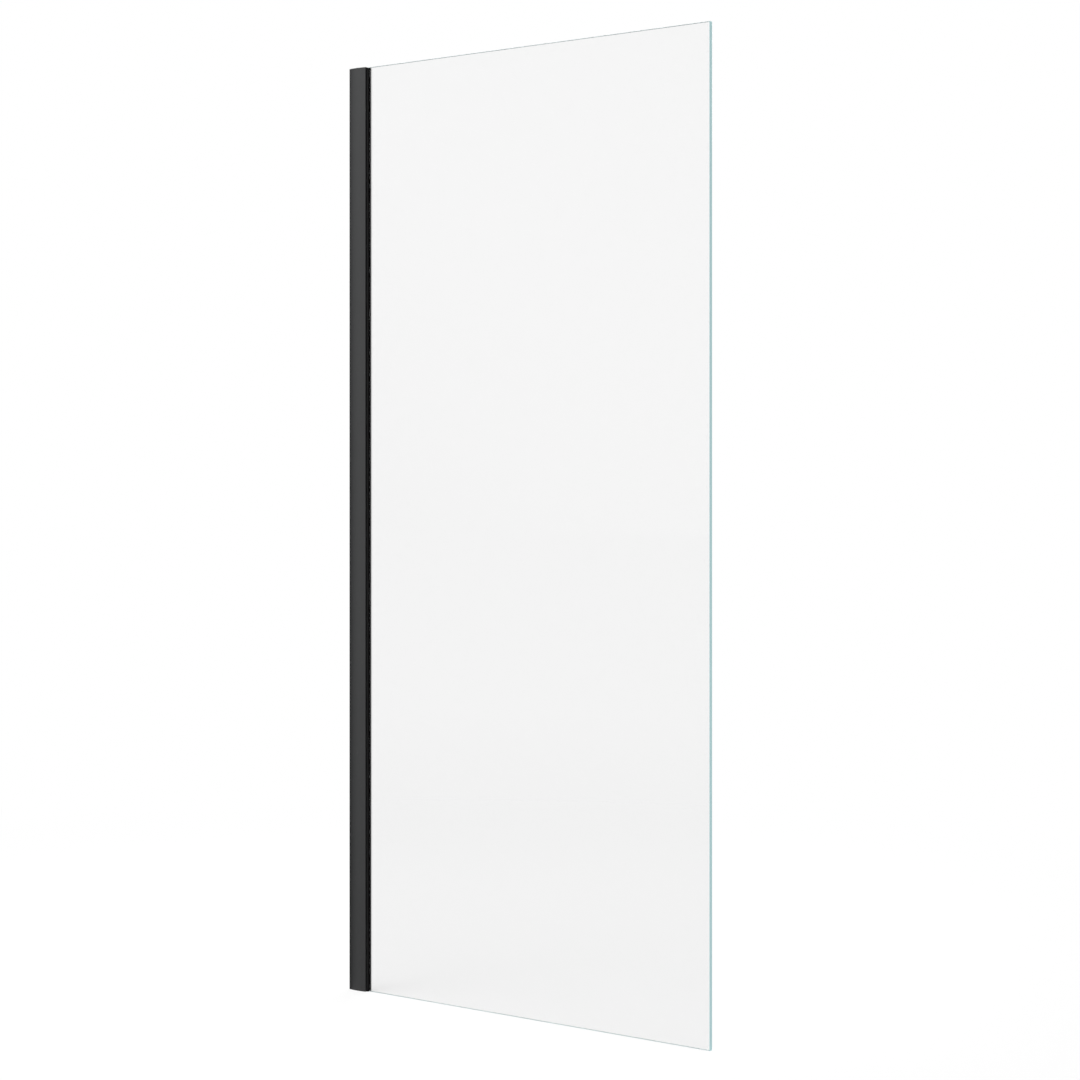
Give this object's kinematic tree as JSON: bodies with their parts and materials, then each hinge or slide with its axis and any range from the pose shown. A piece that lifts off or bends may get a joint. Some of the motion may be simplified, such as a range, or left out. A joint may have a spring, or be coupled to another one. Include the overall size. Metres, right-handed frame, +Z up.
{
  "type": "shower side panel",
  "caption": "Fixed clear-glass shower side panel in a bowed matte black wall profile that slides to set the width, with clamp screws under caps on the shower side.",
  "frame": {"origin": "on the wall plane, in the middle plane of the glass, at the level of the shower tray", "axes": "+X from the wall to the free edge of the glass, +Y into the shower, +Z up"},
  "size_m": [0.9, 0.0282, 1.9],
  "materials": {
    "profile_coat": "extruded aluminium with a matte black powder coat",
    "clear_glass": "clear toughened float glass with polished blue-green edges",
    "gasket_rubber": "black extruded gasket rubber, satin",
    "black_nylon": "black moulded nylon, fine spark texture",
    "shoe_plastic": "black extruded soft plastic",
    "screw_steel": "plain stainless steel",
    "nut_steel": "zinc-plated pressed steel"
  },
  "bodies": {
    "wall_unit": {"wall_profile": "profile_coat", "top_end_cap": "black_nylon", "clamp_screw_1": "screw_steel", "clamp_nut_1": "nut_steel", "screw_cap_1": "black_nylon", "clamp_screw_2": "screw_steel", "clamp_nut_2": "nut_steel", "screw_cap_2": "black_nylon", "clamp_screw_3": "screw_steel", "clamp_nut_3": "nut_steel", "screw_cap_3": "black_nylon", "clamp_screw_4": "screw_steel", "clamp_nut_4": "nut_steel", "screw_cap_4": "black_nylon"},
    "glass_unit": {"glass_profile": "profile_coat", "glass_pane": "clear_glass", "front_gasket": "gasket_rubber", "rear_gasket": "gasket_rubber", "edge_shoe_1": "shoe_plastic", "edge_shoe_2": "shoe_plastic", "edge_shoe_3": "shoe_plastic", "edge_shoe_4": "shoe_plastic"}
  },
  "joints": [
    {"name": "width_adjustment", "type": "slide", "parent": "wall_unit", "child": "glass_unit", "axis": [1, 0, 0], "range_m": [0, 0.015]}
  ]
}
